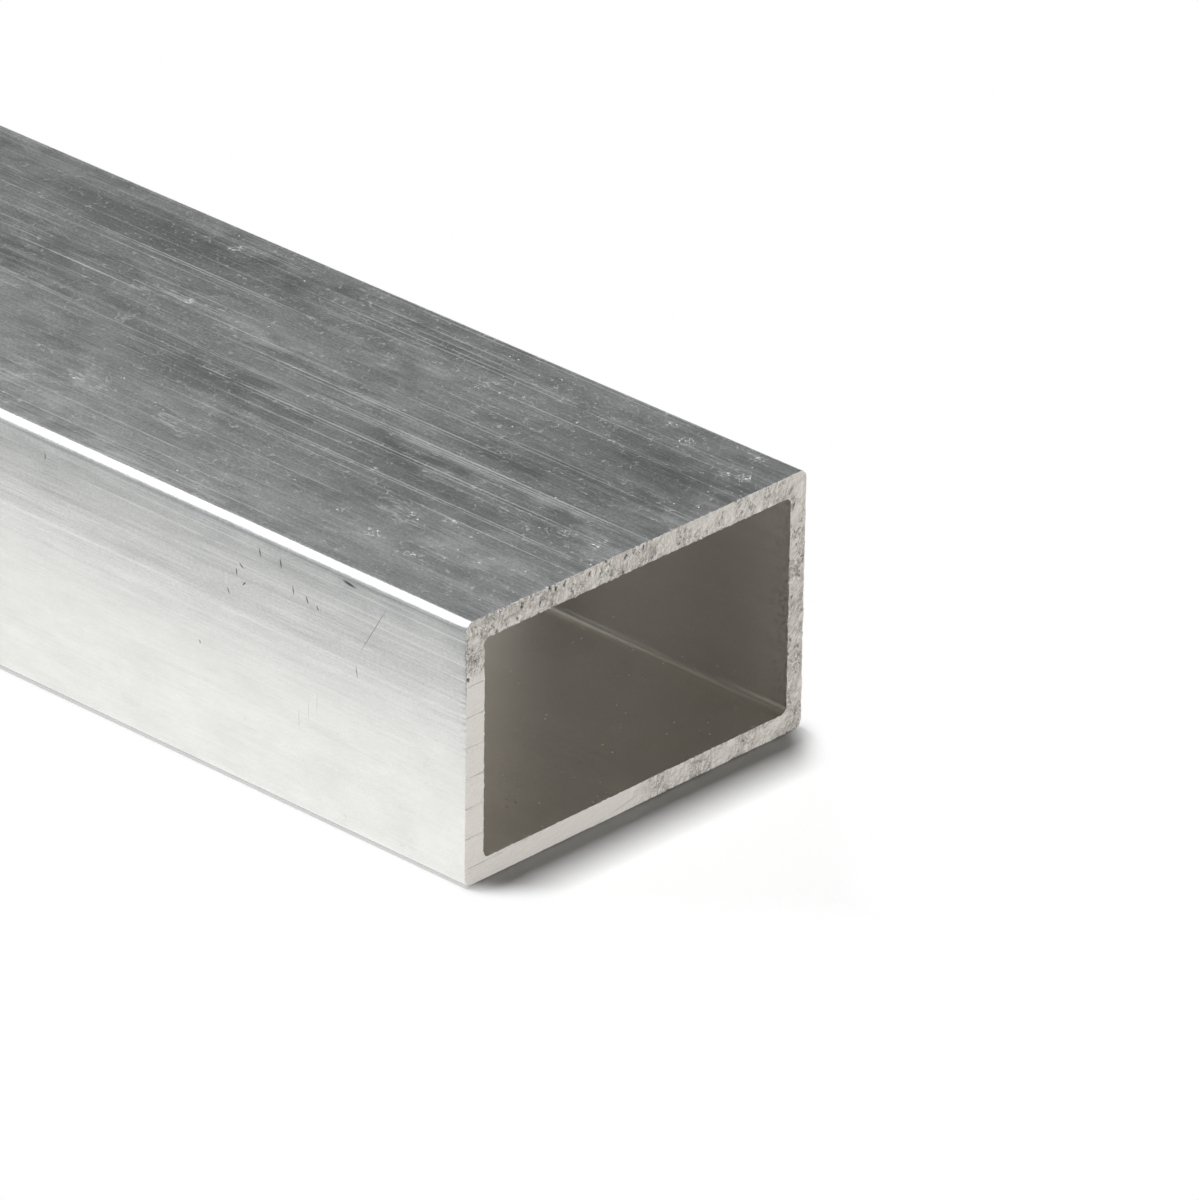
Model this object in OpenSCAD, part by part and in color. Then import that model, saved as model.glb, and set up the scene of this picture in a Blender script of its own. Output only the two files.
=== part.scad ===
// Rectangular aluminium tube: one length of extruded hollow section, sawn square at both ends.
// It lies on a wide side. X runs along the tube, Y across its wide sides and Z up.
// The origin is in the middle of the face that it lies on.

/* [Section] */
// Outside size of the two wide sides
tube_width = 50; // [40:1:120]
// Outside size of the two narrow sides
tube_height = 30; // [20:1:80]
// Wall thickness that the section is sold by
wall = 2.5; // [1.5:0.1:6]
// Radius of the four outside corners
corner_radius = 1; // [0.3:0.1:1.4]
// Radius of the four corners inside the bore
bore_radius = 0.8; // [0.4:0.1:3]

/* [Mandrel drift] */
// How far the die's mandrel let the bore drift across the width, towards +Y
drift_across = 0.2; // [-0.4:0.05:0.4]
// How far the mandrel let the bore drift down, which leaves the top wall the thicker one
drift_down = 0.05; // [-0.4:0.05:0.4]

/* [Stock] */
// Length between the two sawn ends
tube_length = 1000; // [200:50:6000]

/* [Hidden] */
$fn = 96;
bore_width = tube_width - 2 * wall;
bore_height = tube_height - 2 * wall;
saw_overrun = 1; // how far the cut of the bore runs past each sawn end

// A rectangle about the origin with its four corners rounded by true arcs
module rounded_rectangle(width, height, radius) {
    square([width - 2 * radius, height], center = true);
    square([width, height - 2 * radius], center = true);
    for (side = [-1, 1], level = [-1, 1])
        translate([side * (width / 2 - radius), level * (height / 2 - radius)])
            circle(r = radius);
}

// A bar along X, whose section is drawn with its width along Y and its height along Z
module bar(length) {
    rotate([90, 0, 90])
        translate([0, 0, -length / 2])
            linear_extrude(height = length)
                children();
}

module outside() {
    bar(tube_length)
        rounded_rectangle(tube_width, tube_height, corner_radius);
}

module bore() {
    translate([0, drift_across, -drift_down])
        bar(tube_length + 2 * saw_overrun)
            rounded_rectangle(bore_width, bore_height, bore_radius);
}

module tube() {
    color("silver")
        translate([0, 0, tube_height / 2])
            difference() {
                outside();
                bore();
            }
}

tube();
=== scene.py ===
import math

import bpy
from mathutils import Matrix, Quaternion, Vector


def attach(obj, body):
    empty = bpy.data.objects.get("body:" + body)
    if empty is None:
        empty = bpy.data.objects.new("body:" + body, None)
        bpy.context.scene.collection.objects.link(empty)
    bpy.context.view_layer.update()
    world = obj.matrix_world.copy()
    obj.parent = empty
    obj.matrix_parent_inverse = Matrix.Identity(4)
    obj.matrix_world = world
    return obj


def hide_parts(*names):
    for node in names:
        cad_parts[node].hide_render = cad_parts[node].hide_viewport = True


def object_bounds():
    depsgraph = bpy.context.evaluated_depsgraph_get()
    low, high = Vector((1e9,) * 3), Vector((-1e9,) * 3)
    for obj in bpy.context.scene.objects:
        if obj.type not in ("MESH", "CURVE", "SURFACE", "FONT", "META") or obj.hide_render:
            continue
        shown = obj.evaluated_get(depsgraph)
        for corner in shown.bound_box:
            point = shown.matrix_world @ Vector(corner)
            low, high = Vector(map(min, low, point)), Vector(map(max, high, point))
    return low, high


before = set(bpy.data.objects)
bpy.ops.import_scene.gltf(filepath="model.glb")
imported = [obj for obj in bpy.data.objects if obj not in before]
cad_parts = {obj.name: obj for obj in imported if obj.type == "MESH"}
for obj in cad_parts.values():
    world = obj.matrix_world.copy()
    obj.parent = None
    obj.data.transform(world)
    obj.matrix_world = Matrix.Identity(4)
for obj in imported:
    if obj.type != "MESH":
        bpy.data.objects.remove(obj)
cadLow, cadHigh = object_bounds()
print("frame loaded, box", tuple(cadLow), tuple(cadHigh))


class Graph:
    # A node tree with short calls for the nodes that are used most here
    def __init__(self, tree):
        self.tree = tree

    def feed(self, socket, value):
        if isinstance(value, bpy.types.NodeSocket):
            self.tree.links.new(value, socket)
        else:
            socket.default_value = value

    def add(self, kind, feeds=None, **settings):
        made = self.tree.nodes.new(kind)
        for name, value in settings.items():
            setattr(made, name, value)
        self.fill(made, feeds or {})
        return made

    def fill(self, node, feeds):
        for name, value in feeds.items():
            self.feed(node.inputs[name], value)

    def calc(self, operation, *values):
        made = self.add("ShaderNodeMath", operation=operation)
        for socket, value in zip(made.inputs, values):
            self.feed(socket, value)
        return made.outputs[0]

    def plus(self, *values):
        total = values[0]
        for value in values[1:]:
            total = self.calc("ADD", total, value)
        return total

    def times(self, *values):
        total = values[0]
        for value in values[1:]:
            total = self.calc("MULTIPLY", total, value)
        return total

    def most(self, *values):
        largest = values[0]
        for value in values[1:]:
            largest = self.calc("MAXIMUM", largest, value)
        return largest

    def minus(self, first, second):
        return self.calc("SUBTRACT", first, second)

    def clamp(self, value):
        return self.ramp(value, 0.0, 1.0, smooth=False)

    # From toLow at low to toHigh at high, and level past both
    def ramp(self, value, low, high, toLow=0.0, toHigh=1.0, smooth=True):
        kind = "SMOOTHSTEP" if smooth else "LINEAR"
        feeds = {"Value": value, "From Min": low, "From Max": high, "To Min": toLow, "To Max": toHigh}
        return self.add("ShaderNodeMapRange", feeds, interpolation_type=kind, clamp=True).outputs["Result"]

    def split(self, vector):
        return self.add("ShaderNodeSeparateXYZ", {0: vector}).outputs

    def join(self, x, y, z):
        return self.add("ShaderNodeCombineXYZ", {0: x, 1: y, 2: z}).outputs[0]

    def vector(self, operation, *values):
        made = self.add("ShaderNodeVectorMath", operation=operation)
        for socket, value in zip([s for s in made.inputs if s.enabled], values):
            self.feed(socket, value)
        return made.outputs["Value" if operation in ("LENGTH", "DOT_PRODUCT") else "Vector"]

    def scaled(self, vector, factor):
        made = self.add("ShaderNodeVectorMath", {0: vector}, operation="SCALE")
        self.feed(made.inputs["Scale"], factor)
        return made.outputs[0]

    def noise(self, vector, detail=2.0, roughness=0.5, scale=1.0):
        feeds = {"Vector": vector, "Scale": scale, "Detail": detail, "Roughness": roughness}
        return self.add("ShaderNodeTexNoise", feeds, noise_dimensions="3D").outputs[0]

    # A mix node's colour sockets come after those for numbers and vectors
    def mix(self, factor, first, second):
        made = self.add("ShaderNodeMix", data_type="RGBA")
        self.feed(made.inputs[0], factor)
        self.feed(made.inputs[6], first)
        self.feed(made.inputs[7], second)
        return made.outputs[2]

    # How far a value is through one of the saw cut's named ranges
    def cut(self, name, value):
        return self.ramp(value, *sawCut["ranges"][name])

    # A start value, plus each named layer times its weight
    def weigh(self, start, layers, weights):
        for name, weight in weights.items():
            start = self.plus(start, self.times(layers[name], weight))
        return start


# Sizes in millimetres, each of them an input of the Geometry Nodes group
tubeSize = {
    "length": (cadHigh.x - cadLow.x) * 1000,
    "width": (cadHigh.y - cadLow.y) * 1000,
    "height": (cadHigh.z - cadLow.z) * 1000,
    "wall": 2.5,
    "cornerRadius": 1.0,
    "boreRadius": 0.8,
    "driftAcross": 0.2,  # the mandrel's drift, which makes the -Y wall the thick one
    "driftDown": 0.05,
    "cornerPoints": 9,  # segments round each corner
    "wideCuts": 436,  # columns along a wide side
    "narrowCuts": 254,
    "rings": 14,  # along the outside, and as many in the bore
    "wallRings": 20,  # across the sawn face
    "ringSpread": 9.0,  # how strongly the rings gather at the ends
    "dieLine": 0.008,  # depth of the lines that the die leaves
    "dieLineAlong": 0.003,  # how fast they change along the tube
    "dieLineAcross": 1.3,
    "mergeWithin": 0.0005,  # closes the seams of the grid
    "sharpAngle": 42.0,  # degrees
}

# The saw cut, as each end is seen from outside. The blade's centre is high above the thick wall
sawCut = {
    "centreY": -24.0,
    "centreZ": 110.0,
    "meanRadius": 95.0,  # turns an angle round the centre into a length
    "ledgeRadius": 90.7,  # one of the ledges, at 19.3 mm up the thick wall
    "ledgePitch": 3.45,
    "ledgesInside": 30,  # how many pitches nearer the centre the count of ledges starts
    "base": 0.05,  # mean depth of the sawn face inside the end
    "ledge": 0.030,  # from here to ridgeHeight, how deep or high each mark is
    "stroke": 0.04,
    "lump": 0.12,
    "pit": 0.05,
    "chip": 0.05,
    "flake": 0.05,
    "rift": 0.08,
    "crackDepth": 0.13,
    "ridgeHeight": 0.05,
    "skinFray": 0.05,  # how far the two edges of the wall draw back
    "boreFray": 0.14,
    "jag": 0.36,  # how far the cracks stray from straight
    "jagGrain": {"detail": 3.0, "roughness": 0.7, "scale": 2.4},
    "frayScale": 2.4,
    "frayFall": 5.0,  # how fast the fraying ends, for each millimetre along the skin
    "chipFall": 9.0,  # how fast the chips end, for each millimetre from an edge
    "follow": 0.35,  # how far along the skin the end's relief still pulls the rings
    "seeds": {"marks": 37.0, "jag": 53.0, "fray": 71.0},
    "strokeMean": 0.4,  # the noise that leaves the depth as it is
    "bottomTorn": 0.75,  # how torn the bottom wall is, beside the top wall
    "tornShares": (0.35, 1.3),  # what is torn everywhere, and what the patches add
    "pitShares": (0.6, 0.12),  # under a ledge, and where it is torn
    "chipShares": (0.3, 0.7),  # everywhere, and more where it is torn
    "crackShape": {"wider": 1.3, "soft": 0.6},
    "lipShape": {"wider": 2.0, "offset": (0.12, -0.10), "soft": 0.4},
    "grains": {  # place in the noise, two scales, detail, roughness
        "patches": (3, 0.35, 0.35, 2, 0.5),
        "strokes": (7, 4.5, 0.7, 3, 0.6),
        "lumps": (11, 1.5, 1.1, 4, 0.62),
        "dots": (29, 3.4, 3.4, 1, 0.5),
        "ledgeGaps": (31, 0.5, 1, 2, 0.5),
        "chips": (41, 2.6, 2.6, 3, 0.6),
        "rifts": (61, 1, 0.6, 3, 0.68),
    },
    "riftSlant": (1.5, -0.6),  # how the rifts' first direction mixes y and z
    "flakes": {"place": 47.0, "scaleY": 1.5, "scaleZ": 1.1, "slant": -0.5, "bend": 1.8},
    "ranges": {  # from and to, then the values there where they aren't 0 and 1
        "topWall": (22.5, 26), "topWallAlong": (-2, 10, 1, 0.5), "thinWall": (20, 22.6),
        "thinWallUp": (28, 16, 0.4, 0.95), "bottomWall": (4.5, 2.5),
        "bottomWallAlong": (-4, 8), "ledgeFoot": (0.02, 0.1), "ledgeMiddle": (0.36, 0.2),
        "ledgePatches": (0.47, 0.56), "rift": (0.02, 0.006), "riftPatches": (0.44, 0.56),
        "riftTorn": (0.25, 0.6), "dots": (0.63, 0.72), "ledgeAfter": (0.045, 0),
        "ledgeBefore": (0.985, 1), "ledgeGaps": (0.42, 0.55), "chips": (0.42, 0.75),
        "lumps": (0.35, 0.75), "skinFray": (0.3, 0.7), "boreFray": (0.48, 0.75),
    },
    "cracks": [  # y, z, half length, half width, lean to the right in degrees
        (-16.9, 29.3, 0.5, 0.09, 5), (-14.3, 28.4, 0.5, 0.06, 0), (-12.9, 29.7, 0.2, 0.16, 0),
        (-12, 29.3, 0.3, 0.15, 20), (-10.7, 29.5, 0.45, 0.09, 30), (-9.7, 28.4, 0.25, 0.1, 0),
        (-7.1, 29.3, 0.42, 0.12, 15), (-5.5, 28.8, 0.85, 0.07, 29), (-4.7, 29.8, 0.25, 0.11, 20),
        (-4.2, 29.4, 0.25, 0.09, 10), (-1.8, 29.3, 0.45, 0.1, 45), (-0.6, 29.5, 0.35, 0.11, 40),
        (0.7, 29.5, 0.42, 0.1, 20), (-2.1, 27.6, 0.13, 0.25, 0), (-14.5, 27.5, 0.12, 0.2, 0),
        (-17.6, 28, 0.2, 0.13, 10), (-19.2, 27.9, 0.2, 0.12, 20), (-20.5, 27.6, 0.28, 0.12, 30),
        (-21, 28.2, 0.18, 0.09, 10), (-23.6, 29.2, 0.2, 0.1, 0), (-23.6, 28.2, 0.12, 0.1, 0),
        (-24.3, 26.9, 0.14, 0.1, 30), (-24.6, 23.6, 0.22, 0.2, 60), (23.2, 26.4, 0.2, 0.1, 20),
        (23.7, 21.7, 0.2, 0.12, 10), (23.2, 15.7, 0.22, 0.1, 30), (23.1, 10.8, 0.25, 0.1, 0),
        (22.9, 9.2, 0.2, 0.1, 15), (12.4, 28.7, 0.2, 0.08, 40), (24.2, 17.9, 0.16, 0.09, 20),
    ],
    "ridges": [  # y from, y to, z, half width
        (-24.9, -11, 28.93, 0.11), (-22.5, -14.5, 28.35, 0.07), (-21, -9, 29.55, 0.07),
    ],
}


def sectionLoop(graph, width, height, radius, inputs, offsetY, offsetZ):
    # A rounded rectangle whose flats are cut into columns
    outline = graph.add("GeometryNodeCurvePrimitiveQuadrilateral", {"Width": width, "Height": height})
    points = inputs["cornerPoints"]
    rounded = graph.add(
        "GeometryNodeFilletCurve", {"Curve": outline.outputs[0], "Radius": radius}, mode="POLY")
    graph.feed(rounded.inputs["Count"], points)
    # Each corner has a group of points, and the flat after it starts at the group's last one
    group = graph.plus(points, 1)
    index = graph.add("GeometryNodeInputIndex").outputs[0]
    last = graph.minus(graph.calc("MODULO", index, graph.times(group, 2)), graph.minus(group, 1))
    isWide = graph.calc("COMPARE", last, 0.0, 0.5)
    isNarrow = graph.calc("COMPARE", last, group, 0.5)
    cuts = graph.plus(
        graph.times(isWide, inputs["wideCuts"]), graph.times(isNarrow, inputs["narrowCuts"]))
    divided = graph.add("GeometryNodeSubdivideCurve", {"Curve": rounded.outputs[0], "Cuts": cuts})
    place = graph.split(graph.add("GeometryNodeInputPosition").outputs[0])
    upright = graph.join(0.0, graph.plus(place[0], offsetY), graph.plus(place[1], offsetZ))
    stood = graph.add("GeometryNodeSetPosition", {"Geometry": divided.outputs[0], "Position": upright})
    return stood.outputs[0]


def fall(graph, distance, speed):
    # 1 at no distance, and less with each millimetre
    return graph.calc("EXPONENT", graph.times(distance, -speed))


def sawMarks(graph, y, z, end, across, wall):
    # Depth of the sawn surface below the end, with masks for what is pitted, torn and ridged
    toSkin = graph.times(across, wall)
    toBore = graph.times(graph.minus(1.0, across), wall)
    y = graph.times(y, end)
    seed = graph.times(end, sawCut["seeds"]["marks"])

    def grain(name, first, second):
        place, firstScale, secondScale, detail, roughness = sawCut["grains"][name]
        where = graph.join(
            graph.plus(seed, place), graph.times(first, firstScale), graph.times(second, secondScale))
        return graph.noise(where, detail=detail, roughness=roughness)

    right = graph.minus(y, sawCut["centreY"])
    down = graph.minus(sawCut["centreZ"], z)
    radius = graph.calc("SQRT", graph.plus(graph.times(right, right), graph.times(down, down)))
    arc = graph.times(graph.calc("ARCTAN2", right, down), sawCut["meanRadius"])

    # The top wall is torn most, then the thin wall and the right half of the bottom wall
    topWall = graph.times(graph.cut("topWall", z), graph.cut("topWallAlong", y))
    thinWall = graph.times(graph.cut("thinWall", y), graph.cut("thinWallUp", z))
    bottomWall = graph.times(
        graph.cut("bottomWallAlong", y), graph.cut("bottomWall", z), sawCut["bottomTorn"])
    patches = grain("patches", y, z)
    least, patchy = sawCut["tornShares"]
    torn = graph.clamp(graph.times(graph.most(topWall, thinWall, bottomWall),
                                   graph.plus(least, graph.times(patches, patchy))))

    # Between one ledge and the next, the step goes from 0 to 1
    countFrom = sawCut["ledgeRadius"] - sawCut["ledgesInside"] * sawCut["ledgePitch"]
    ledgeShare = graph.times(graph.minus(radius, countFrom), 1.0 / sawCut["ledgePitch"])
    step = graph.calc("FRACT", ledgeShare)
    belowLedge = graph.times(
        graph.cut("ledgeFoot", step), graph.cut("ledgeMiddle", step),
        graph.cut("ledgePatches", patches))
    edge = graph.most(graph.cut("ledgeAfter", step), graph.cut("ledgeBefore", step))
    ledgeLine = graph.times(edge, graph.cut("ledgeGaps", grain("ledgeGaps", arc, ledgeShare)))

    # Strokes along the cut, and lumps where it tore
    strokes = grain("strokes", radius, arc)
    lumps = grain("lumps", y, z)

    # Flakes lie higher or lower than their neighbours, and rifts run between some of them
    flakes = sawCut["flakes"]
    bent = graph.times(lumps, flakes["bend"])
    flakeY = graph.plus(graph.times(y, flakes["scaleY"]), graph.times(z, flakes["slant"]), bent)
    flakeZ = graph.plus(graph.times(z, flakes["scaleZ"]), bent)
    flakePlace = graph.join(graph.plus(seed, flakes["place"]), flakeY, flakeZ)
    cells = graph.add("ShaderNodeTexVoronoi", {"Vector": flakePlace, "Scale": 1.0})
    flake = graph.times(graph.minus(graph.split(cells.outputs["Color"])[0], 0.5), torn)
    slantY, slantZ = sawCut["riftSlant"]
    rifts = grain("rifts", graph.plus(graph.times(y, slantY), graph.times(z, slantZ)), z)
    rifts = graph.times(
        graph.cut("rift", graph.calc("ABSOLUTE", graph.minus(rifts, 0.5))),
        graph.cut("riftPatches", patches), graph.cut("riftTorn", torn))

    # Pits are under the ledges and in the torn parts
    pitsBelow, pitsTorn = sawCut["pitShares"]
    pitShare = graph.clamp(graph.plus(graph.times(belowLedge, pitsBelow), graph.times(torn, pitsTorn)))
    pits = graph.times(graph.cut("dots", grain("dots", y, z)), pitShare)

    # Both edges break away in small chips
    chips = graph.cut("chips", grain("chips", y, z))
    nearEdge = graph.plus(fall(graph, toSkin, sawCut["chipFall"]), fall(graph, toBore, sawCut["chipFall"]))
    chipsLeast, chipsTorn = sawCut["chipShares"]
    chipShare = graph.plus(chipsLeast, graph.times(torn, chipsTorn))
    depth = graph.plus(
        sawCut["base"], graph.times(graph.minus(strokes, sawCut["strokeMean"]), sawCut["stroke"]),
        graph.times(graph.cut("lumps", lumps), torn, sawCut["lump"]),
        graph.times(pits, sawCut["pit"]), graph.times(flake, sawCut["flake"]),
        graph.times(rifts, sawCut["rift"]), graph.times(step, sawCut["ledge"]),
        graph.times(ledgeLine, -sawCut["ledge"]),
        graph.times(chips, nearEdge, sawCut["chip"], chipShare))
    return {
        "depth": graph.most(depth, 0.0), "pits": pits, "torn": torn, "ledge": ledgeLine,
        "flake": flake, "rifts": rifts, "toSkin": toSkin,
    }


def gashes(graph, local, wider=1.0, offset=(0.0, 0.0), soft=0.45):
    # The cracks of the sawn face, each a leaning stroke
    def gash(y, z, long, half, lean):
        turn = math.radians(lean)
        half = half * wider
        apart = graph.vector("SUBTRACT", local, (0.0, y + offset[0], z + offset[1]))
        sideways = graph.vector("DOT_PRODUCT", apart, (0.0, math.cos(turn) / half, -math.sin(turn) / half))
        upward = graph.vector("DOT_PRODUCT", apart, (0.0, math.sin(turn) / long, math.cos(turn) / long))
        return graph.ramp(graph.vector("LENGTH", graph.join(0.0, sideways, upward)), 1.0, soft)
    return graph.most(*(gash(*crack) for crack in sawCut["cracks"]))


def burrRidges(graph, local):
    # Raised lines that run along the top wall
    def ridge(start, stop, z, half):
        apart = graph.vector("SUBTRACT", local, (0.0, (start + stop) / 2, z))
        share = graph.vector("MULTIPLY", apart, (0.0, 2.0 / (stop - start), 1.0 / half))
        return graph.ramp(graph.vector("LENGTH", share), 1.0, 0.3)
    return graph.most(*(ridge(*line) for line in sawCut["ridges"]))


def tubeTree(materials):
    tree = bpy.data.node_groups.new("sawnTube", "GeometryNodeTree")
    for name, value in tubeSize.items():
        kind = "NodeSocketInt" if isinstance(value, int) else "NodeSocketFloat"
        tree.interface.new_socket(name, in_out="INPUT", socket_type=kind)
    tree.interface.new_socket("Geometry", in_out="OUTPUT", socket_type="NodeSocketGeometry")
    graph = Graph(tree)
    inputs = graph.add("NodeGroupInput").outputs
    result = graph.add("NodeGroupOutput")

    middle = graph.times(inputs["height"], 0.5)
    twoWalls = graph.times(inputs["wall"], 2.0)
    outer = sectionLoop(
        graph, inputs["width"], inputs["height"], inputs["cornerRadius"], inputs, 0.0, middle)
    bore = sectionLoop(
        graph, graph.minus(inputs["width"], twoWalls), graph.minus(inputs["height"], twoWalls),
        inputs["boreRadius"], inputs, inputs["driftAcross"], graph.minus(middle, inputs["driftDown"]))
    columns = graph.add(
        "GeometryNodeAttributeDomainSize", {0: outer}, component="CURVE").outputs["Point Count"]

    # One grid: outside from front to back, back end, bore from back to front, front end
    rings = inputs["rings"]
    wallRings = inputs["wallRings"]
    around = graph.plus(columns, 1)
    total = graph.plus(graph.times(graph.plus(rings, wallRings), 2), 1)
    grid = graph.add("GeometryNodeMeshGrid", {"Vertices X": total, "Vertices Y": around}).outputs[0]
    index = graph.add("GeometryNodeInputIndex").outputs[0]
    ring = graph.calc("FLOOR", graph.calc("DIVIDE", graph.plus(index, 0.5), around))
    column = graph.minus(index, graph.times(ring, around))
    column = graph.calc("ROUND", graph.calc("MODULO", column, columns))
    position = graph.add("GeometryNodeInputPosition").outputs[0]

    def loopPoint(loop):
        made = graph.add(
            "GeometryNodeSampleIndex", {"Geometry": loop}, data_type="FLOAT_VECTOR", domain="POINT")
        graph.feed(made.inputs["Value"], position)
        graph.feed(made.inputs["Index"], column)
        return made.outputs[0]

    outerPoint = loopPoint(outer)
    borePoint = loopPoint(bore)
    boreStart = graph.plus(rings, wallRings)
    along = graph.minus(
        graph.clamp(graph.calc("DIVIDE", ring, rings)),
        graph.clamp(graph.calc("DIVIDE", graph.minus(ring, boreStart), rings)))
    frontStart = graph.plus(boreStart, rings)
    across = graph.minus(
        graph.clamp(graph.calc("DIVIDE", graph.minus(ring, rings), wallRings)),
        graph.clamp(graph.calc("DIVIDE", graph.minus(ring, frontStart), wallRings)))
    halfway = graph.minus(1.0, graph.times(along, 2.0))  # 1 at the front end, -1 at the back
    end = graph.calc("SIGN", halfway)
    halfLength = graph.times(inputs["length"], 0.5)
    spread = inputs["ringSpread"]
    fromTip = graph.minus(1.0, graph.calc("ABSOLUTE", halfway))
    share = graph.calc(
        "DIVIDE", graph.calc("SINH", graph.times(spread, fromTip)), graph.calc("SINH", spread))
    fromEnd = graph.times(halfLength, share)
    outward = graph.vector("NORMALIZE", graph.vector("SUBTRACT", outerPoint, borePoint))
    section = graph.vector(
        "ADD", graph.scaled(outerPoint, graph.minus(1.0, across)), graph.scaled(borePoint, across))
    parts = graph.split(section)
    y, z = parts[1], parts[2]

    depth = sawMarks(graph, y, z, end, across, inputs["wall"])["depth"]

    # The cracks are jagged, and the back end has the same ones, turned over with it
    jagPlace = graph.join(graph.times(end, sawCut["seeds"]["jag"]), y, z)
    jag = graph.times(graph.minus(graph.noise(jagPlace, **sawCut["jagGrain"]), 0.5), sawCut["jag"])
    local = graph.join(0.0, graph.plus(graph.times(y, end), jag), graph.minus(z, jag))
    cracks = gashes(graph, local, **sawCut["crackShape"])
    # Beside each crack, a lip where the sawn material paints a highlight
    lipHighlights = gashes(graph, local, **sawCut["lipShape"])
    ridges = burrRidges(graph, local)
    depth = graph.plus(
        depth, graph.times(cracks, sawCut["crackDepth"]), graph.times(ridges, -sawCut["ridgeHeight"]))
    depth = graph.most(depth, 0.0)
    follow = fall(graph, fromEnd, 1.0 / sawCut["follow"])
    x = graph.times(end, graph.minus(graph.minus(halfLength, fromEnd), graph.times(depth, follow)))

    # Die lines run the whole length, so they are in the columns themselves
    slow, fast = inputs["dieLineAlong"], inputs["dieLineAcross"]
    dieLines = graph.noise(
        graph.join(graph.times(x, slow), graph.times(y, fast), graph.times(z, fast)), detail=2.0,
        roughness=0.6)
    dieLines = graph.times(graph.ramp(dieLines, 0.25, 0.8, smooth=False), inputs["dieLine"])

    # The edges of the sawn face draw back a little, the bore's more than the skin's
    onSkin = graph.clamp(graph.minus(1.0, graph.times(across, wallRings)))  # 1 on the skin itself
    onBore = graph.clamp(graph.minus(1.0, graph.times(graph.minus(1.0, across), wallRings)))
    frayed = graph.noise(graph.join(graph.times(end, sawCut["seeds"]["fray"]),
                                    graph.times(y, sawCut["frayScale"]),
                                    graph.times(z, sawCut["frayScale"])), detail=2.0)
    closeToEnd = fall(graph, fromEnd, sawCut["frayFall"])
    skinFray = graph.times(graph.cut("skinFray", frayed), closeToEnd, sawCut["skinFray"])
    boreFray = graph.times(graph.cut("boreFray", frayed), closeToEnd, sawCut["boreFray"])
    inset = graph.plus(graph.times(graph.plus(dieLines, skinFray), onSkin),
                       graph.times(graph.minus(boreFray, dieLines), onBore))
    moved = graph.vector("SUBTRACT", graph.join(x, y, z), graph.scaled(outward, inset))

    # The sawn material reads both of these
    drawn = graph.join(cracks, lipHighlights, ridges)
    for name, kind, value in (("acrossWall", "FLOAT", across), ("sawnMarks", "FLOAT_VECTOR", drawn)):
        stored = graph.add("GeometryNodeStoreNamedAttribute", {"Geometry": grid, "Name": name},
                           data_type=kind, domain="POINT")
        graph.feed(stored.inputs["Value"], value)
        grid = stored.outputs[0]
    mesh = graph.add("GeometryNodeSetPosition", {"Geometry": grid, "Position": moved}).outputs[0]
    mesh = graph.add(
        "GeometryNodeMergeByDistance", {"Geometry": mesh, "Distance": inputs["mergeWithin"]}).outputs[0]
    metres = graph.scaled(position, 0.001)
    mesh = graph.add("GeometryNodeSetPosition", {"Geometry": mesh, "Position": metres}).outputs[0]
    mesh = graph.add(
        "GeometryNodeSetShadeSmooth", {0: mesh, "Shade Smooth": True}, domain="FACE").outputs[0]
    bend = graph.add("GeometryNodeInputMeshEdgeAngle").outputs[0]
    sharp = graph.calc("GREATER_THAN", bend, graph.calc("RADIANS", inputs["sharpAngle"]))
    mesh = graph.add("GeometryNodeSetShadeSmooth", {0: mesh, "Selection": sharp, "Shade Smooth": False},
                     domain="EDGE").outputs[0]
    mesh = graph.add("GeometryNodeRealizeInstances", {0: mesh}).outputs[0]

    # The sawn material goes on everywhere first, and then the skin's and the bore's over it
    share = graph.add(
        "GeometryNodeInputNamedAttribute", {"Name": "acrossWall"}, data_type="FLOAT").outputs[0]
    regions = {
        "sawn": True,
        "skin": graph.calc("LESS_THAN", share, 0.001),
        "bore": graph.calc("GREATER_THAN", share, 0.999),
    }
    for name, chosen in regions.items():
        made = graph.add("GeometryNodeSetMaterial", {0: mesh, "Material": materials[name]})
        graph.feed(made.inputs["Selection"], chosen)
        mesh = made.outputs[0]
    graph.feed(result.inputs[0], mesh)
    return tree


def linked(name, data):
    made = bpy.data.objects.new(name, data)
    bpy.context.scene.collection.objects.link(made)
    return made


def plainMesh(tree, values, name):
    # Runs the tree and keeps its result as a plain mesh
    carrier = linked(name + "Carrier", bpy.data.meshes.new(name + "Carrier"))
    modifier = carrier.modifiers.new(name, "NODES")
    modifier.node_group = tree
    for item in tree.interface.items_tree:
        if item.item_type == "SOCKET" and item.in_out == "INPUT":
            modifier[item.identifier] = values[item.name]
    evaluated = carrier.evaluated_get(bpy.context.evaluated_depsgraph_get())
    mesh = bpy.data.meshes.new_from_object(evaluated)
    carrier.modifiers.remove(modifier)
    bpy.data.objects.remove(carrier)
    mesh.name = name
    return linked(name, mesh)


def emptied(owner):
    # Nodes for a material or a world, with the ones it starts with cleared away
    owner.use_nodes = True
    owner.node_tree.nodes.clear()
    return Graph(owner.node_tree)


def newMaterial(name, finish):
    def through(rangeName, value):
        return graph.ramp(value, *finish["ranges"][rangeName])

    material = bpy.data.materials.new(name)
    graph = emptied(material)
    output = graph.add("ShaderNodeOutputMaterial")
    shader = graph.add("ShaderNodeBsdfPrincipled")
    graph.feed(output.inputs["Surface"], shader.outputs[0])
    place = graph.scaled(graph.add("ShaderNodeTexCoord").outputs["Object"], 1000.0)  # millimetres
    return material, graph, shader, place, through


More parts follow.
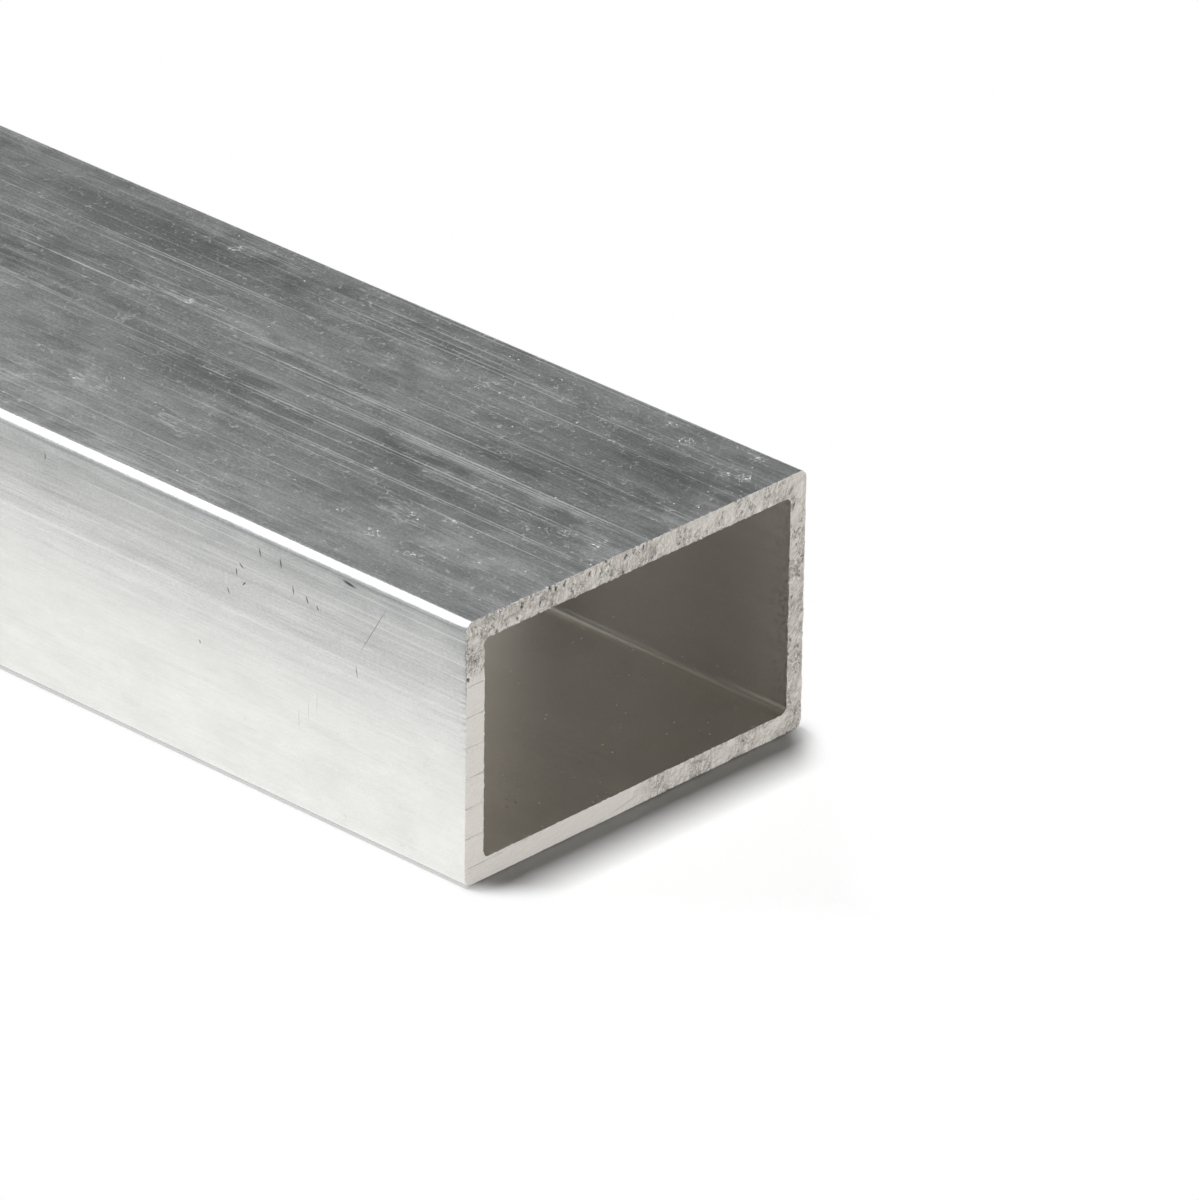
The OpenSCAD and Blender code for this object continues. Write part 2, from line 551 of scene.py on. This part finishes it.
def lengthwise(graph, place, along, across, detail, roughness, offset):
    # Noise that is drawn out along the tube
    stretched = graph.add(
        "ShaderNodeMapping",
        {"Vector": place, "Location": (offset, offset, 0), "Scale": (along, across, across)}).outputs[0]
    return graph.noise(stretched, detail=detail, roughness=roughness)


def mark(graph, place, centre, half, turn=(0, 0, 0), soft=0.3):
    # 1 in the middle of a spot or stroke, 0 past its half sizes
    local = graph.add("ShaderNodeMapping", {"Vector": place, "Location": centre, "Scale": half,
                                            "Rotation": [math.radians(v) for v in turn]},
                      vector_type="TEXTURE").outputs[0]
    return graph.ramp(graph.vector("LENGTH", local), 1.0, soft)


def specks(graph, place, perMillimetre, share, size):
    # Small spots, one in each chosen cell
    cells = graph.add("ShaderNodeTexVoronoi", {"Vector": place, "Scale": perMillimetre})
    chance = graph.split(cells.outputs["Color"])
    chosen = graph.calc("LESS_THAN", chance[0], share)
    across = graph.times(size, graph.plus(0.4, chance[1]))
    inside = graph.calc("DIVIDE", cells.outputs["Distance"], across)
    return graph.times(chosen, graph.ramp(inside, 1.0, 0.5))


# The drawn outside. Places are in millimetres; the top side is at z = 30 and the thick side at y = -25
skinFinish = {
    "dark": (0.575, 0.59, 0.59, 1),
    "light": (0.915, 0.925, 0.92, 1),
    "crumb": (0.97, 0.97, 0.96, 1),
    "nick": (0.10, 0.10, 0.10, 1),
    "crumbCover": 0.8,
    "nickCover": 0.92,
    "smooth": 0.285,
    "rough": 0.385,
    "roughCrumbs": 0.22,
    "roughLines": 0.03,
    "bump": 0.000008,  # in metres, like the studio below
    "bumpGrain": 0.4,
    "noises": {  # scales along and across, detail, roughness, place in the noise
        "broad": (0.022, 0.17, 1, 0.5, 5),
        "medium": (0.02, 0.6, 1, 0.55, 11),
        "narrow": (0.085, 3, 2, 0.8, 17),
        "mottle": (0.2, 0.42, 3, 0.6, 23),
        "grain": (2.2, 5, 1, 0.6, 29),
        "hairlines": (0.012, 5.5, 0, 0.5, 37),
    },
    # How much each layer adds to the roughness, to the lightness and to what is scattered
    "roughens": {"medium": 0.08, "mottle": 1.1, "pale": 0.2, "dark": -0.34, "scuff": 0.22},
    "fine": {"narrow": 2.0, "grain": 1.6, "lines": 1.25},
    "fineStart": -0.07,
    "lightens": {"mottle": 0.6, "crosses": 0.6, "scuff": 0.6, "hairs": 0.7, "dark": -0.22, "pale": 0.22},
    "scatters": {"bright": 0.8, "lines": 0.24, "crosses": 0.22, "scuff": 0.15, "hairs": 0.2},
    "ranges": {
        "broad": (0.36, 0.64, -0.08, 0.08), "hairlines": (0.62, 0.74),
        "hairlinePatches": (0.4, 0.56), "lineBreaks": (0.25, 0.5, 0.3, 1),
        "strokes": (0.44, 0.64), "towardsEnd": (462, 496), "curls": (0.028, 0.01),
        "hairs": (0.02, 0.006), "hairPatches": (0.5, 0.56), "hairHeight": (29.6, 29.9),
        "sideFine": (12, 24, 0.15, 0.6), "topFine": (29.6, 29.95, 0, 0.4),
        "sideBands": (12, 24), "belowTop": (29.95, 29.6),
    },
    "warp": (16.0, 5.0),  # how far the mottling bends the patches, along and across
    "fadeOut": 1.6,  # a soft mark reaches this many times its size
    "reach": 4.0,  # how far below the surface a mark still counts
    "crossHalf": 0.17,  # half the width of a cross scratch
    "crossMore": 0.8,  # how far its ends fade past their places
    "hairlineShare": 0.8,
    "strokeTurn": 35.0,  # the strokes of a scuff: their turn in degrees and their scales
    "strokeScales": (0.5, 3.2, 1.0),
    "crumbs": {"perMillimetre": 1.7, "size": 0.17},
    "curls": {"perMillimetre": 0.5, "size": 0.5},
    "curlShift": (7.3, 3.1, 0.0),
    "curlScale": 1.6,
    "hairScale": 0.75,
    "crumbShares": (0.035, 0.14, 0.07),  # everywhere, more in the scuffs, more towards the ends
    "curlShares": (0.006, 0.25, 0.13),
    "darkPatches": [  # x, y, half length, half width
        (468, -2.5, 9, 3),
        (416.5, 17.8, 19, 3.4), (399, 2.4, 15, 3.2), (440.5, -3.9, 10, 2.6),
        (468, -3.4, 10, 2.6), (486, -1.6, 8, 2.2), (478, 4.6, 8, 2),
        (490, 14, 12, 4), (495.7, 13, 0.9, 4.2), (478, -4.5, 13, 2.4),
        (486.5, 7.5, 9, 3), (449.5, -4.5, 5, 2),
    ],
    "palePatches": [
        (441, 8, 9, 2.6), (458, 14, 8, 3), (460, 6.5, 7, 2), (403, -12, 12, 4),
        (452, -21.5, 32, 4.5), (436, -18.5, 10, 6), (491.5, -12.5, 8, 3),
    ],
    "dieLines": [  # x from, x to, y, half width
        (396, 446, 14.15, 0.07), (396, 446, 13.75, 0.06), (399, 421, -0.65, 0.07),
        (399, 421, -1, 0.05), (430, 520, -6.85, 0.07), (430, 520, -7.25, 0.06),
        (438, 520, 1.55, 0.1), (438, 520, 1.1, 0.07), (438, 520, 0.7, 0.06),
        (398, 424, 6.1, 0.12), (455, 520, -9.2, 0.06), (424, 470, 4.4, 0.06),
    ],
    "scuffs": [  # x, y, half length, half width, turn in degrees
        (427, 7.9, 10, 1.9, 4), (433, -13.4, 5.6, 1.6, -28), (446.5, -13.4, 5.6, 1.6, -28),
        (477, -12, 6.6, 1.9, -22), (491.6, 4.3, 1.1, 0.7, 0),
    ],
    "crossScratches": [  # x, y from, y to
        (467.7, 9.4, 16.2), (470.2, 14.8, 20.8), (456.5, 6.2, 10.5), (435, 0.5, 4.8), (484, -4, 1),
        (399.5, 9, 13), (492.5, 12.5, 17), (424, -1, 2.5),
    ],
    "darkNicks": [  # on the thick side: x, z, half length, half width, turn in degrees
        (467.9, 25.1, 0.55, 0.08, 38), (467.2, 24.2, 0.55, 0.08, 82), (468.3, 23.2, 0.5, 0.08, -50),
        (470.6, 27.6, 0.7, 0.08, 75), (473.6, 27.4, 0.8, 0.09, 80), (475.4, 25, 0.7, 0.07, 80),
        (477.4, 24.6, 0.6, 0.09, 70), (478.9, 24.2, 0.4, 0.08, 60), (483.4, 28.6, 1.3, 0.15, 8),
        (486.9, 24.6, 5.4, 0.025, -59), (484.5, 19, 0.9, 0.05, 80), (466, 21.6, 0.5, 0.07, 65),
        (439, 27.4, 0.5, 0.07, 85), (476.2, 10.6, 1.7, 0.014, 88), (477.6, 12.2, 2.1, 0.012, 91),
        (478.8, 13.4, 1.5, 0.016, 90), (461.8, 14.2, 0.3, 0.07, 70),
    ],
}


def millFinish():
    finish = skinFinish
    material, graph, shader, place, through = newMaterial("millFinishAluminium", finish)
    x, y, z = graph.split(place)[0:3]
    top, side = tubeSize["height"], -tubeSize["width"] / 2
    reach, fadeOut = finish["reach"], finish["fadeOut"]

    # Broad patches, streaks at two widths, mottling, a fine grain and hairlines
    broad, medium, narrow, mottle, grain, hairNoise = (lengthwise(graph, place, *row)
                                                       for row in finish["noises"].values())
    warp = graph.minus(mottle, 0.5)
    warpAlong, warpAcross = finish["warp"]
    warped = graph.vector(
        "ADD", place, graph.join(graph.times(warp, warpAlong), graph.times(warp, warpAcross), 0.0))
    dark, pale = (graph.most(*(mark(graph, warped, (px, py, top), (hx * fadeOut, hy * fadeOut, reach),
                                    soft=0.0) for px, py, hx, hy in patches))
                  for patches in (finish["darkPatches"], finish["palePatches"]))

    # Pale lines from the die, broken up along their length
    lines = graph.most(*(mark(graph, place, ((start + stop) / 2, py, top),
                              ((stop - start) / 2, half * fadeOut, 1), soft=0.2)
                         for start, stop, py, half in finish["dieLines"]))
    hairlines = graph.times(through("hairlines", hairNoise), through("hairlinePatches", medium))
    lines = graph.times(
        graph.most(lines, graph.times(hairlines, finish["hairlineShare"])),
        through("lineBreaks", mottle))

    # Scuffs are bundles of short strokes, with crumbs in them
    scuffed = graph.most(*(mark(graph, warped, (px, py, top), (hx, hy, reach), (0, 0, turn), soft=0.2)
                           for px, py, hx, hy, turn in finish["scuffs"]))
    brushed = graph.add("ShaderNodeMapping", {
        "Vector": place, "Rotation": (0, 0, math.radians(finish["strokeTurn"])),
        "Scale": finish["strokeScales"]}).outputs[0]
    scuff = graph.times(scuffed, through("strokes", graph.noise(brushed, detail=2.0, roughness=0.65)))

    # Crumbs and curls of swarf gather towards the sawn ends
    towardsEnd = through("towardsEnd", graph.calc("ABSOLUTE", x))

    def gathered(shares):
        everywhere, inScuffs, atEnds = shares
        return graph.plus(everywhere, graph.times(scuffed, inScuffs), graph.times(towardsEnd, atEnds))

    def thread(name, noise):
        # A thin line where a noise passes its middle
        return through(name, graph.calc("ABSOLUTE", graph.minus(noise, 0.5)))

    crumbs = specks(graph, place, share=gathered(finish["crumbShares"]), **finish["crumbs"])
    curlNoise = graph.noise(place, detail=0.0, scale=finish["curlScale"])
    curlPlace = specks(graph, graph.vector("ADD", place, finish["curlShift"]),
                       share=gathered(finish["curlShares"]), **finish["curls"])
    curls = graph.times(thread("curls", curlNoise), curlPlace)
    hairs = graph.times(
        thread("hairs", graph.noise(place, detail=1.0, scale=finish["hairScale"])),
        through("hairPatches", curlNoise), through("hairHeight", z))
    bright = graph.clamp(graph.plus(crumbs, curls))
    crosses = graph.most(*(mark(graph, warped, (px, (start + stop) / 2, top),
                                (finish["crossHalf"], (stop - start) / 2 + finish["crossMore"], reach),
                                soft=0.0)
                           for px, start, stop in finish["crossScratches"]))
    nicks = graph.most(*(mark(graph, place, (px, side, pz), (half, 1, wide * fadeOut), (0, turn, 0))
                         for px, pz, half, wide, turn in finish["darkNicks"]))

    # Clouds change how rough the skin is, and the fine lines how light it is
    layers = {
        "medium": graph.minus(medium, 0.5), "narrow": graph.minus(narrow, 0.5),
        "mottle": graph.minus(mottle, 0.5), "grain": graph.minus(grain, 0.5),
        "dark": dark, "pale": pale, "lines": lines, "scuff": scuff, "crosses": crosses,
        "hairs": hairs, "bright": bright,
    }
    cloud = graph.clamp(graph.weigh(graph.plus(0.5, through("broad", broad)), layers, finish["roughens"]))
    fine = graph.weigh(finish["fineStart"], layers, finish["fine"])

    # The narrow sides are cleaner, with bands along their upper half
    fine = graph.times(fine, graph.plus(through("sideFine", z), through("topFine", z)))
    bands = graph.times(layers["medium"], through("sideBands", z), through("belowTop", z))
    tone = graph.clamp(graph.weigh(graph.plus(0.5, fine, bands), layers, finish["lightens"]))
    colour = graph.mix(tone, finish["dark"], finish["light"])
    colour = graph.mix(graph.times(bright, finish["crumbCover"]), colour, finish["crumb"])
    colour = graph.mix(graph.times(nicks, finish["nickCover"]), colour, finish["nick"])
    roughness = graph.ramp(cloud, 0.0, 1.0, finish["smooth"], finish["rough"], smooth=False)
    roughness = graph.plus(
        roughness, graph.times(bright, finish["roughCrumbs"]), graph.times(lines, finish["roughLines"]))

    # Torn-up metal scatters the light that the drawn skin mirrors
    scatter = graph.weigh(0.0, layers, finish["scatters"])
    height = graph.plus(narrow, graph.times(grain, finish["bumpGrain"]))
    bump = graph.add("ShaderNodeBump", {"Height": height, "Distance": finish["bump"]})
    graph.fill(shader, {
        "Base Color": colour, "Roughness": roughness, "Normal": bump.outputs[0],
        "Metallic": graph.clamp(graph.minus(1.0, scatter)),
    })
    return material


boreFinish = {
    "base": (0.908, 0.881, 0.835, 1),
    "stain": (0.788, 0.761, 0.72, 1),
    "smudge": (0.25, 0.24, 0.22, 1),
    "dust": (0.98, 0.97, 0.95, 1),
    "smudgeCover": 0.45,
    "dustCover": 0.8,
    "roughness": 0.23,
    "roughDust": 0.65,
    "metallic": 0.85,
    "stretch": 0.93,  # the drawn grooves spread a reflection across the bore
    "stretchTurn": 0.25,  # in whole turns
    "streakNoise": (0.04, 1.2, 3.0, 0.6, 3.0),  # scales along and across, detail, roughness, place
    "cloudNoise": (0.12, 0.2, 3.0, 0.6, 9.0),
    "streaks": 1.2,
    "dustSpecks": {"perMillimetre": 1.6, "size": 0.17},
    "smudgeNoise": {"detail": 4.0, "roughness": 0.75, "scale": 1.9},
    "ranges": {
        "dustAlong": (470, 496, 0.05, 0.22), "dustDown": (6, 3, 0.15, 1),
        "dustPatches": (0.42, 0.56, 0.3, 1), "smudgeAlong": (496.5, 500),
        "smudgeAcross": (20, 22.4), "smudgePatches": (0.48, 0.64),
    },
}


def boreSkin():
    finish = boreFinish
    material, graph, shader, place, through = newMaterial("extrudedBore", finish)
    x, y, z = graph.split(place)[0:3]

    # Streaks and clouds, dust on the floor of the mouth, and a smudge at the thin wall's edge
    fromMiddle = graph.calc("ABSOLUTE", x)
    streak = lengthwise(graph, place, *finish["streakNoise"])
    clouds = lengthwise(graph, place, *finish["cloudNoise"])
    tone = graph.clamp(graph.plus(graph.times(graph.minus(streak, 0.5), finish["streaks"]), clouds))
    dustShare = graph.times(
        through("dustAlong", fromMiddle), through("dustDown", z), through("dustPatches", clouds))
    dust = specks(graph, place, share=dustShare, **finish["dustSpecks"])
    smudge = graph.times(
        through("smudgeAlong", fromMiddle), through("smudgeAcross", y),
        through("smudgePatches", graph.noise(place, **finish["smudgeNoise"])))
    colour = graph.mix(tone, finish["stain"], finish["base"])
    colour = graph.mix(graph.times(smudge, finish["smudgeCover"]), colour, finish["smudge"])
    colour = graph.mix(graph.times(dust, finish["dustCover"]), colour, finish["dust"])
    graph.fill(shader, {
        "Base Color": colour, "Metallic": finish["metallic"], "Tangent": graph.join(1.0, 0.0, 0.0),
        "Roughness": graph.plus(finish["roughness"], graph.times(dust, finish["roughDust"])),
        "Anisotropic": finish["stretch"], "Anisotropic Rotation": finish["stretchTurn"],
    })
    return material


sawnFinish = {
    "clean": (0.765, 0.745, 0.71, 1),
    "torn": (0.78, 0.745, 0.70, 1),
    "thinWall": (0.58, 0.545, 0.505, 1),
    # the painted shade on facets that lean away from the painted light
    "shade": (0.41, 0.38, 0.34, 1),
    # the colour of the painted shade in the cracks, pits and rifts and along the burr line
    "crack": (0.13, 0.12, 0.105, 1),
    # the colour of the painted highlights on the sawn face
    "bright": (0.90, 0.89, 0.86, 1),
    "roughness": 0.68,
    "metallic": 0.75,
    "paintedLightFrom": (0.0, -0.45, 0.89),  # painted light: facets that face this way are painted brighter, the others darker
    "fineNoise": {"detail": 4.0, "roughness": 0.75, "scale": 2.4},
    "fineHeight": 0.14,
    "ruggedness": (0.2, 0.8),  # everywhere, and more where it is torn
    "leanTorn": 0.9,  # how much more a torn facet's lean counts in the painted shading
    "leanFlake": -0.45,
    "leanMost": 0.6,
    "thinShade": 0.5,
    "rimFall": 12.0,  # how fast the painted highlight along the skin's edge ends, for each millimetre from the skin
    "paintedGlints": {"ledge": 0.5, "rimHighlight": 0.6, "ridges": 0.55, "lipHighlights": 0.5, "litFacets": 1.0},
    "hollowShades": {"cracks": 0.95, "pits": 0.45, "rifts": 0.6, "burrShade": 0.6},
    "burrPlace": (0, -24.97, 24.2),
    "burrHalf": (1000, 0.16, 5.2),
    "ranges": {
        "thinAcross": (20.8, 22.8), "thinUp": (27, 14), "rimBreaks": (0.4, 0.6),
        "burrBreaks": (0.36, 0.5),
    },
}


def sawnFace():
    finish = sawnFinish
    material, graph, shader, place, through = newMaterial("sawnAluminium", finish)
    x, y, z = graph.split(place)[0:3]

    def attribute(name):
        return graph.add("ShaderNodeAttribute", attribute_name=name, attribute_type="GEOMETRY").outputs

    marks = sawMarks(graph, y, z, graph.calc("SIGN", x), attribute("acrossWall")["Fac"], tubeSize["wall"])
    cracks, lipHighlights, ridges = graph.split(attribute("sawnMarks")["Vector"])[0:3]
    fine = graph.noise(place, **finish["fineNoise"])
    evenly, whereTorn = finish["ruggedness"]
    rugged = graph.plus(evenly, graph.times(marks["torn"], whereTorn))
    height = graph.plus(
        graph.times(marks["depth"], -1.0), graph.times(fine, rugged, finish["fineHeight"]))
    bump = graph.add("ShaderNodeBump", {"Height": height, "Distance": 0.001})
    graph.feed(shader.inputs["Normal"], bump.outputs[0])

    # Painted shade and highlight: facets that lean up and towards the thick wall are painted brighter and
    # the others darker, and a crack's lower lip is painted brighter too
    lean = graph.vector("DOT_PRODUCT", bump.outputs[0], finish["paintedLightFrom"])
    lean = graph.plus(graph.times(lean, graph.plus(1.0, graph.times(marks["torn"], finish["leanTorn"]))),
                      graph.times(marks["flake"], finish["leanFlake"]))
    paintedShading = graph.ramp(lean, -finish["leanMost"], finish["leanMost"], smooth=False)
    colour = graph.mix(marks["torn"], finish["clean"], finish["torn"])
    thin = graph.times(through("thinAcross", y), through("thinUp", z), finish["thinShade"])
    colour = graph.mix(thin, colour, finish["thinWall"])
    colour = graph.mix(graph.ramp(paintedShading, 0.5, 0.0, smooth=False), colour, finish["shade"])
    layers = {
        "rimHighlight": graph.times(fall(graph, marks["toSkin"], finish["rimFall"]), through("rimBreaks", fine)),
        "burrShade": graph.times(mark(graph, place, finish["burrPlace"], finish["burrHalf"], soft=0.6),
                            through("burrBreaks", fine)),
        "litFacets": graph.ramp(paintedShading, 0.5, 1.0, smooth=False),
        "cracks": cracks, "lipHighlights": lipHighlights, "ridges": ridges, **marks,
    }
    # Painted highlights along the ledges, the skin's edge, the ridges, the cracks' lips and the facets lit
    # by the painted light
    paintedGlint = graph.clamp(graph.weigh(0.0, layers, finish["paintedGlints"]))
    colour = graph.mix(paintedGlint, colour, finish["bright"])
    # Painted shade in the cracks, pits and rifts and along the burr line at the thick wall's edge
    hollowShade = graph.clamp(graph.weigh(0.0, layers, finish["hollowShades"]))
    colour = graph.mix(hollowShade, colour, finish["crack"])
    graph.fill(
        shader,
        {"Base Color": colour, "Metallic": finish["metallic"], "Roughness": finish["roughness"]})
    return material


materials = {"skin": millFinish(), "bore": boreSkin(), "sawn": sawnFace()}
print("materials made:", ", ".join(materials))
tube = plainMesh(tubeTree(materials), tubeSize, "sawnTube")
triangles = sum(len(p.vertices) - 2 for p in tube.data.polygons)
print("tube:", len(tube.data.vertices), "points,", triangles, "triangles")
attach(tube, "root")
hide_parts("tube")


# The camera, fitted to the tube's straight edges in the photograph
view = {
    "location": (1.19583, -0.73884, 0.54090),
    "target": (0.5, -0.00578, 0.02588),
    "roll": 0.757,
    "lens": 336.4,
    "sensor": 36.0,
    "nearest": 0.01,
    "farthest": 100.0,
}


def makeCamera():
    data = bpy.data.cameras.new("camera")
    data.lens = view["lens"]
    data.sensor_width = view["sensor"]
    data.clip_start = view["nearest"]
    data.clip_end = view["farthest"]
    camera = linked("camera", data)
    camera.location = view["location"]
    direction = Vector(view["target"]) - Vector(view["location"])
    camera.rotation_mode = "QUATERNION"
    camera.rotation_quaternion = (
        direction.to_track_quat("-Z", "Y") @ Quaternion((0, 0, 1), math.radians(view["roll"])))
    bpy.context.scene.camera = camera


def seenDirectly(graph):
    # 1 for rays from the camera and for those that metal or glass sends on, 0 for light off the floor
    path = graph.add("ShaderNodeLightPath").outputs
    seen = graph.most(path["Is Camera Ray"], path["Is Glossy Ray"], path["Is Transmission Ray"])
    return graph.times(seen, graph.calc("LESS_THAN", path["Diffuse Depth"], 0.5))


# The studio. Lengths in metres, brightness as radiance, where 1 is white
studio = {
    "ambient": 0.035,
    "key": 0.985,  # what the lamp adds to a white floor
    "keyHeight": 20.0,
    "keyLean": (-0.165, -0.020),  # how far it leans along X and Y for each metre up
    "keySize": (4.0, 2.4),
    "floorSize": 400.0,
    "floorDrop": 0.00002,  # keeps the floor off the underside
    "fadeStart": 1.5,  # where the lit floor starts to turn into the white backdrop
    "fadeEnd": 4.0,
    "shadowTips": 0.8,  # how fast the shadow of an end narrows, going outward
    "tipBlur": 0.003,
}

warm = (1.0, 0.985, 0.96)
warmer = (1.0, 0.985, 0.955)
coolFloor = (0.95, 0.98, 1.0)
coolWall = (0.95, 1.0, 1.0)
coolRoom = (0.97, 0.99, 1.0)
onFloor = (0.0005, 0.0005)
closeToFloor = (0.00004, 0.00004)
underSide = 0.0244  # the side cards start here, under the tube's rounded edge
underEnd = 0.49995

# What the metal mirrors. Each row has a name, ranges along X, Y and Z, a colour and a strength
reflectors = [
    ("backFlag", (-1.5, 1.0), (0.060, 0.060), (0.034, 0.140), coolWall, 0.082),
    ("floorCard", (-3.0, 3.0), (-0.30, -0.058), onFloor, coolFloor, 0.33),
    # These keep the metal from mirroring its own shadow
    ("endCard", (-underEnd, -0.9), (-0.4, 0.5), closeToFloor, warm, 1.1),
    ("endCard", (underEnd, 0.9), (-0.4, 0.5), closeToFloor, warm, 1.1),
    ("sideCard", (-0.9, 0.9), (-underSide, -0.060), closeToFloor, warmer, 1.14),
]

# Inside the bore, what the drawn walls mirror is lighter on one hand
boreGlow = {
    "at": 0.440,  # from the middle, towards each end
    "height": (0.003, 0.027),
    "strips": [(-0.0220, -0.0130, 0.25), (-0.0130, 0.0003, 0.09), (0.0003, 0.0222, 0.47)],
}
for hand in (-1, 1):
    deep = (hand * boreGlow["at"], hand * boreGlow["at"])
    for fromY, toY, strength in boreGlow["strips"]:
        reflectors.append(
            ("boreCard", deep, (hand * fromY, hand * toY), boreGlow["height"], warm, strength))

# The far side and the top mirror these from elsewhere, and the rounded top edge mirrors the softbox
reflectors += [
    ("farFloorCard", (-3.0, 0.48), (0.30, 0.058), onFloor, coolFloor, 0.33),
    ("farSideCard", (-0.9, 0.9), (underSide, 0.060), closeToFloor, warmer, 1.12),
    ("frontFlag", (-0.5, 3.2), (-1.5, -1.5), (0.0, 1.3), coolWall, 0.25),
    ("ceilingCard", (-3.0, 2.2), (-3.5, 3.5), (2.7, 2.7), coolRoom, 0.42),
    ("lowWall", (-1.0, -1.0), (-2.6, 0.0), (0.0, 0.6), coolRoom, 0.55),
    ("softbox", (-1.0, -1.0), (-2.6, 0.9), (0.6, 2.6), (1, 1, 1), 2.2),
]


def makeWorld():
    world = bpy.data.worlds.new("studio")
    bpy.context.scene.world = world
    graph = emptied(world)
    output = graph.add("ShaderNodeOutputWorld")
    strength = graph.ramp(seenDirectly(graph), 0.0, 1.0, studio["ambient"], 1.0, smooth=False)
    back = graph.add("ShaderNodeBackground", {"Color": (1, 1, 1, 1), "Strength": strength})
    graph.feed(output.inputs["Surface"], back.outputs[0])


def makeFloor():
    bpy.ops.mesh.primitive_plane_add(size=studio["floorSize"], location=(0, 0, -studio["floorDrop"]))
    floor = bpy.context.object
    floor.name = "floor"
    material = bpy.data.materials.new("paleFloor")
    graph = emptied(material)
    output = graph.add("ShaderNodeOutputMaterial")
    lit = graph.add("ShaderNodeBsdfDiffuse", {"Color": (1.0, 1.0, 1.0, 1)})
    white = graph.add("ShaderNodeEmission")
    place = graph.add("ShaderNodeTexCoord").outputs["Object"]
    fade = graph.ramp(graph.vector("LENGTH", place), studio["fadeStart"], studio["fadeEnd"])

    # Both tips of an end's shadow fade into the white, and so do the long sides
    parts = graph.split(place)
    outward = graph.most(graph.minus(graph.calc("ABSOLUTE", parts[0]), cadHigh.x), 0.0)
    aside = graph.plus(graph.minus(graph.calc("ABSOLUTE", parts[1]), cadHigh.y),
                       graph.times(outward, studio["shadowTips"]))
    fade = graph.most(fade, graph.ramp(aside, -studio["tipBlur"], studio["tipBlur"]))
    blend = graph.add("ShaderNodeMixShader", {0: graph.times(fade, seenDirectly(graph))})
    graph.feed(blend.inputs[1], lit.outputs[0])
    graph.feed(blend.inputs[2], white.outputs[0])
    graph.feed(output.inputs["Surface"], blend.outputs[0])
    floor.data.materials.append(material)


def card(name, alongX, alongY, alongZ, colour, strength):
    # A reflector that only glossy rays see, flat along the range that has no length
    (x0, x1), (y0, y1), (z0, z1) = alongX, alongY, alongZ
    second, fourth = (y1, y0) if x0 == x1 else (y0, y1)
    corners = [(x0, y0, z0), (x1, second, z0), (x1, y1, z1), (x0, fourth, z1)]
    mesh = bpy.data.meshes.new(name)
    mesh.from_pydata(corners, [], [(0, 1, 2, 3)])
    material = bpy.data.materials.new(name)
    graph = emptied(material)
    output = graph.add("ShaderNodeOutputMaterial")
    glow = graph.add("ShaderNodeEmission", {"Color": (*colour, 1), "Strength": strength})
    graph.feed(output.inputs["Surface"], glow.outputs[0])
    mesh.materials.append(material)
    made = linked(name, mesh)
    made.visible_camera = made.visible_diffuse = made.visible_shadow = False


def makeKey():
    # A wide lamp high above the sawn end, leaning a little towards the back end and the thick side
    high = studio["keyHeight"]
    data = bpy.data.lights.new("key", "AREA")
    data.shape = "RECTANGLE"
    data.size, data.size_y = studio["keySize"]
    data.energy = studio["key"] * (math.pi * high) ** 2
    leanX, leanY = studio["keyLean"]
    linked("key", data).location = (cadHigh.x + leanX * high, leanY * high, high)


makeCamera()
makeWorld()
makeFloor()
makeKey()
for reflector in reflectors:
    card(*reflector)
print("studio set:", len(reflectors), "reflectors")

bpy.context.scene.view_settings.view_transform = "Standard"
